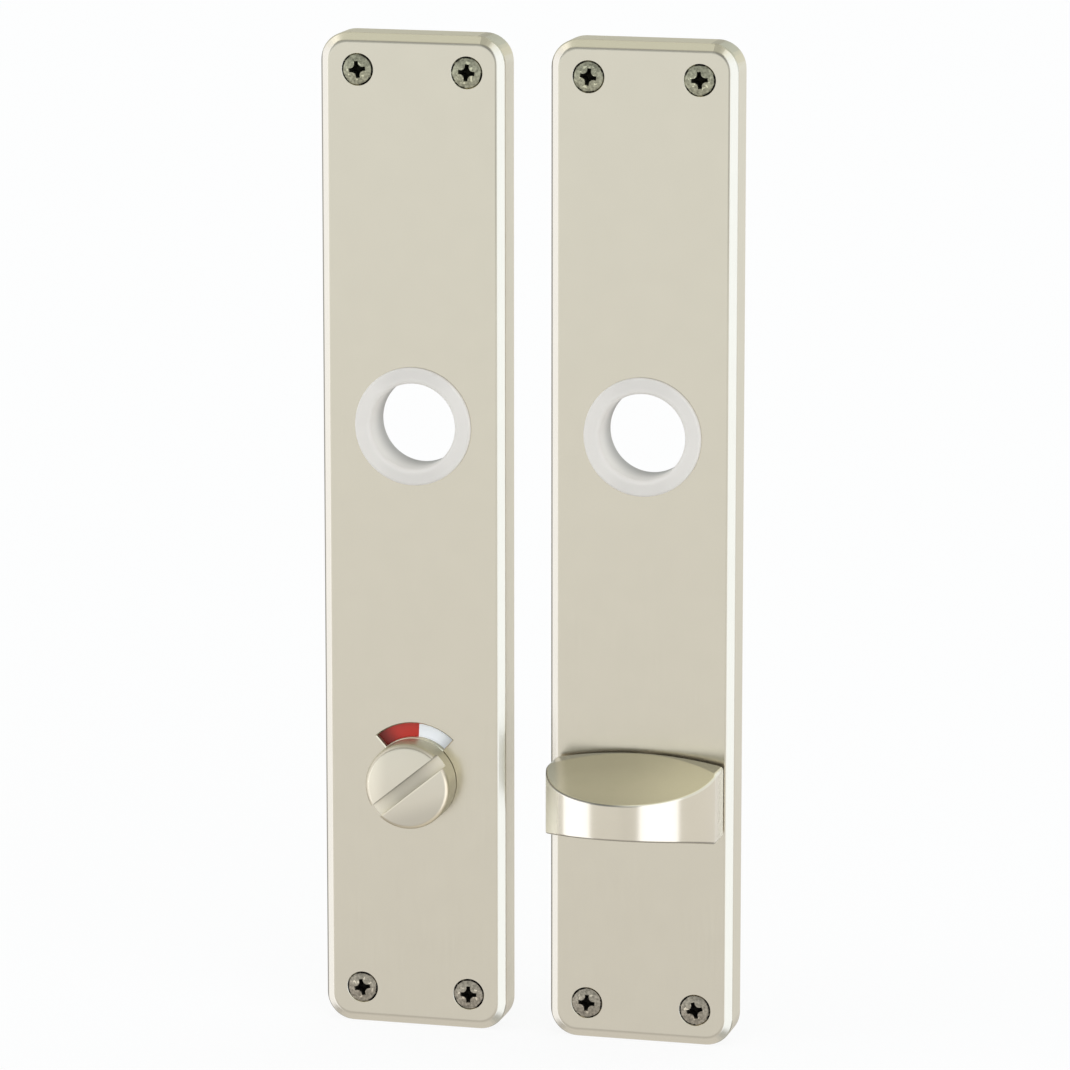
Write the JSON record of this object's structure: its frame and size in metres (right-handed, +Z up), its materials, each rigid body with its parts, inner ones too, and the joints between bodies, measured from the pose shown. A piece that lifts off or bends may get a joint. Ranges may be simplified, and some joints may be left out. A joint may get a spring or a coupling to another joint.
{
  "type": "long door backplate",
  "caption": "Pair of long bathroom door backplates with handle bushes: the outside plate has an emergency release knob and indicator window, the inside plate a thumb turn.",
  "frame": {"origin": "outside plate's handle axis where it crosses its back face, which lies on the door", "axes": "+Z up along the plates, -Y out of the plates' fronts towards the room, +X from the outside plate towards the inside plate"},
  "size_m": [0.091, 0.079, 0.2172],
  "materials": {
    "cover_aluminium": "satin anodised, champagne tone, fine lengthwise brushing",
    "knob_aluminium": "satin anodised, champagne tone, brushed across",
    "turn_aluminium": "satin anodised, champagne tone, smoothly polished front",
    "bush_plastic": "off-white nylon, soft sheen",
    "frame_plastic": "grey moulded nylon",
    "bearing_plastic": "natural nylon",
    "disc_white": "white moulded plastic",
    "indicator_red": "red moulded plastic",
    "spring_steel": "blued spring steel",
    "screw_steel": "nickel plated steel",
    "spindle_steel": "zinc plated steel"
  },
  "bodies": {
    "plates": {"outside_cover_plate": "cover_aluminium", "outside_support_frame": "frame_plastic", "outside_handle_bush": "bush_plastic", "outside_bush_clip": "spring_steel", "release_bearing_bush": "bearing_plastic", "release_spring_washer": "spring_steel", "outside_screws": "screw_steel", "inside_cover_plate": "cover_aluminium", "inside_support_frame": "frame_plastic", "inside_handle_bush": "bush_plastic", "inside_bush_clip": "spring_steel", "turn_bearing_bush": "bearing_plastic", "turn_spring_washer": "spring_steel", "inside_screws": "screw_steel"},
    "release": {"release_knob": "knob_aluminium", "indicator_disc": "disc_white", "indicator_red_segment": "indicator_red", "release_circlip": "spring_steel"},
    "turn": {"thumb_turn": "turn_aluminium", "turn_stop_disc": "disc_white", "turn_circlip": "spring_steel", "turn_spindle": "spindle_steel", "spindle_set_screw": "spindle_steel"}
  },
  "joints": [
    {"name": "release_turn", "type": "hinge", "parent": "plates", "child": "release", "pos_m": [0, -0.008, -0.078], "axis": [0, -1, 0], "range_deg": [-45, 45]},
    {"name": "thumb_turn_turn", "type": "hinge", "parent": "plates", "child": "turn", "pos_m": [0.0505, -0.008, -0.078], "axis": [0, -1, 0], "range_deg": [0, 90]}
  ]
}
